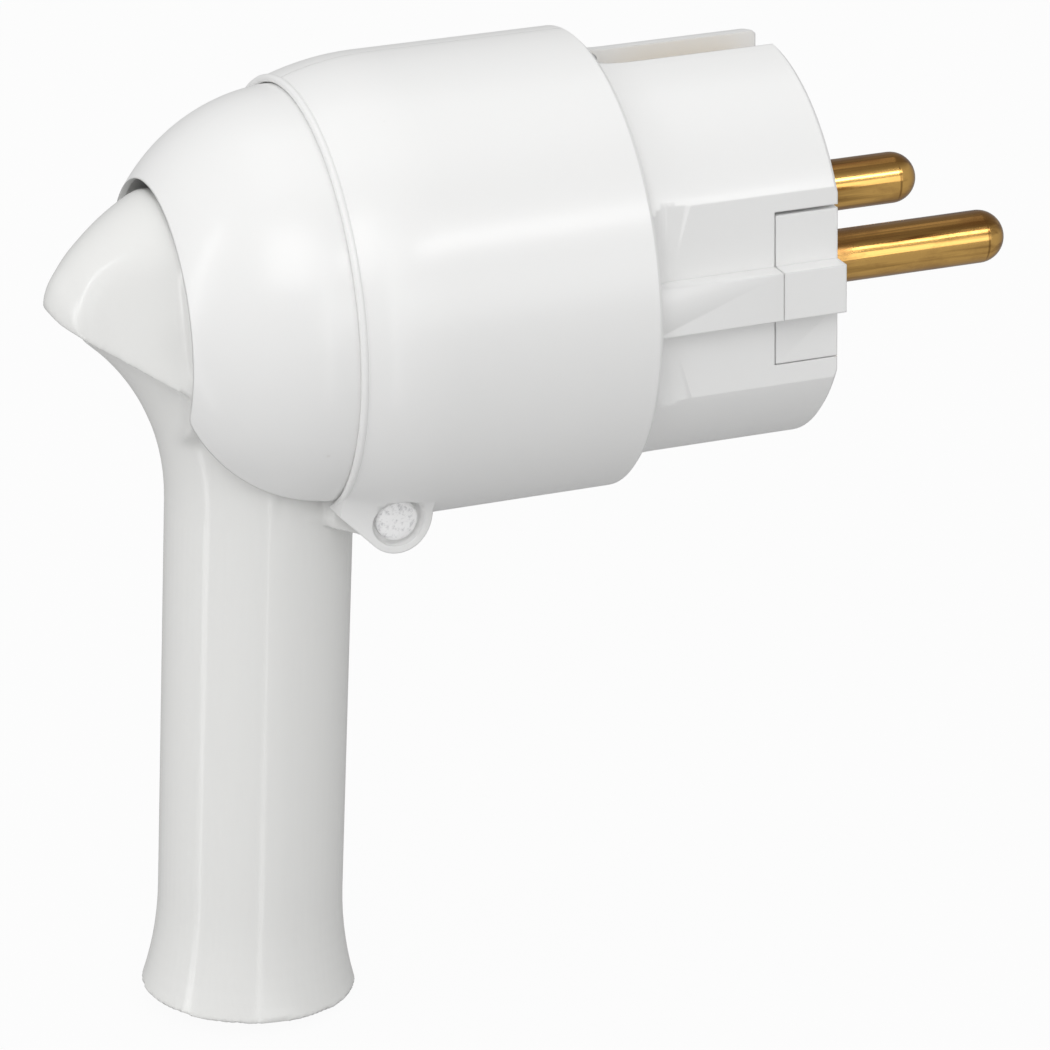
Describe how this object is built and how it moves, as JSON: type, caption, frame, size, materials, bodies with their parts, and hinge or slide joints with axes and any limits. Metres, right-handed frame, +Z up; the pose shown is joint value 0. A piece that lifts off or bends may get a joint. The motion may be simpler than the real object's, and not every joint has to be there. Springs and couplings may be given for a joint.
{
  "type": "earthed mains plug with a lever handle",
  "caption": "Round two-pole earthed plug with flats and earth clip slots, a domed back and a pivoting handle that levers it out of its socket.",
  "frame": {"origin": "centre of the plug's front face, midway between the two line pins", "axes": "+X along the pins, out of the front face; +Z up, with the handle hanging down along -Z; +Y to the left when looking along +X"},
  "size_m": [0.0866, 0.0414, 0.0867],
  "materials": {
    "body_white": "satin gloss, near-white moulding",
    "lever_white": "satin gloss, warmer and slightly greyer white",
    "inner_white": "matt moulding, off-white",
    "pin_brass": "golden brass, lightly tarnished along its length",
    "terminal_brass": "plain bright brass",
    "steel": "bright zinc-plated steel",
    "hinge_steel": "bright steel, scuffed on its flat ends"
  },
  "bodies": {
    "plug": {"nose": "body_white", "collar_shell_right": "body_white", "collar_shell_left": "body_white", "dome": "body_white", "hinge_pin": "hinge_steel", "line_pin_right": "pin_brass", "line_pin_left": "pin_brass", "earth_strap": "terminal_brass", "earth_sleeve": "terminal_brass", "earth_terminal": "terminal_brass", "terminal_screws": "steel", "terminal_retainer": "inner_white", "retainer_screws": "steel", "closing_screws": "steel", "cord_clamp": "inner_white", "cord_clamp_screws": "steel"},
    "lever": {"lever": "lever_white"},
    "ejector": {"ejector": "body_white"}
  },
  "joints": [
    {"name": "lever_hinge", "type": "hinge", "parent": "plug", "child": "lever", "pos_m": [-0.03996, 0, -0.018], "axis": [0, 1, 0], "range_deg": [0, 6]},
    {"name": "ejector_slide", "type": "slide", "parent": "plug", "child": "ejector", "axis": [1, 0, 0], "range_m": [0, 0.003]}
  ],
  "couplings": [
    {"joint": "ejector_slide", "follows": "lever_hinge", "m_per_rad": 0.0276}
  ]
}
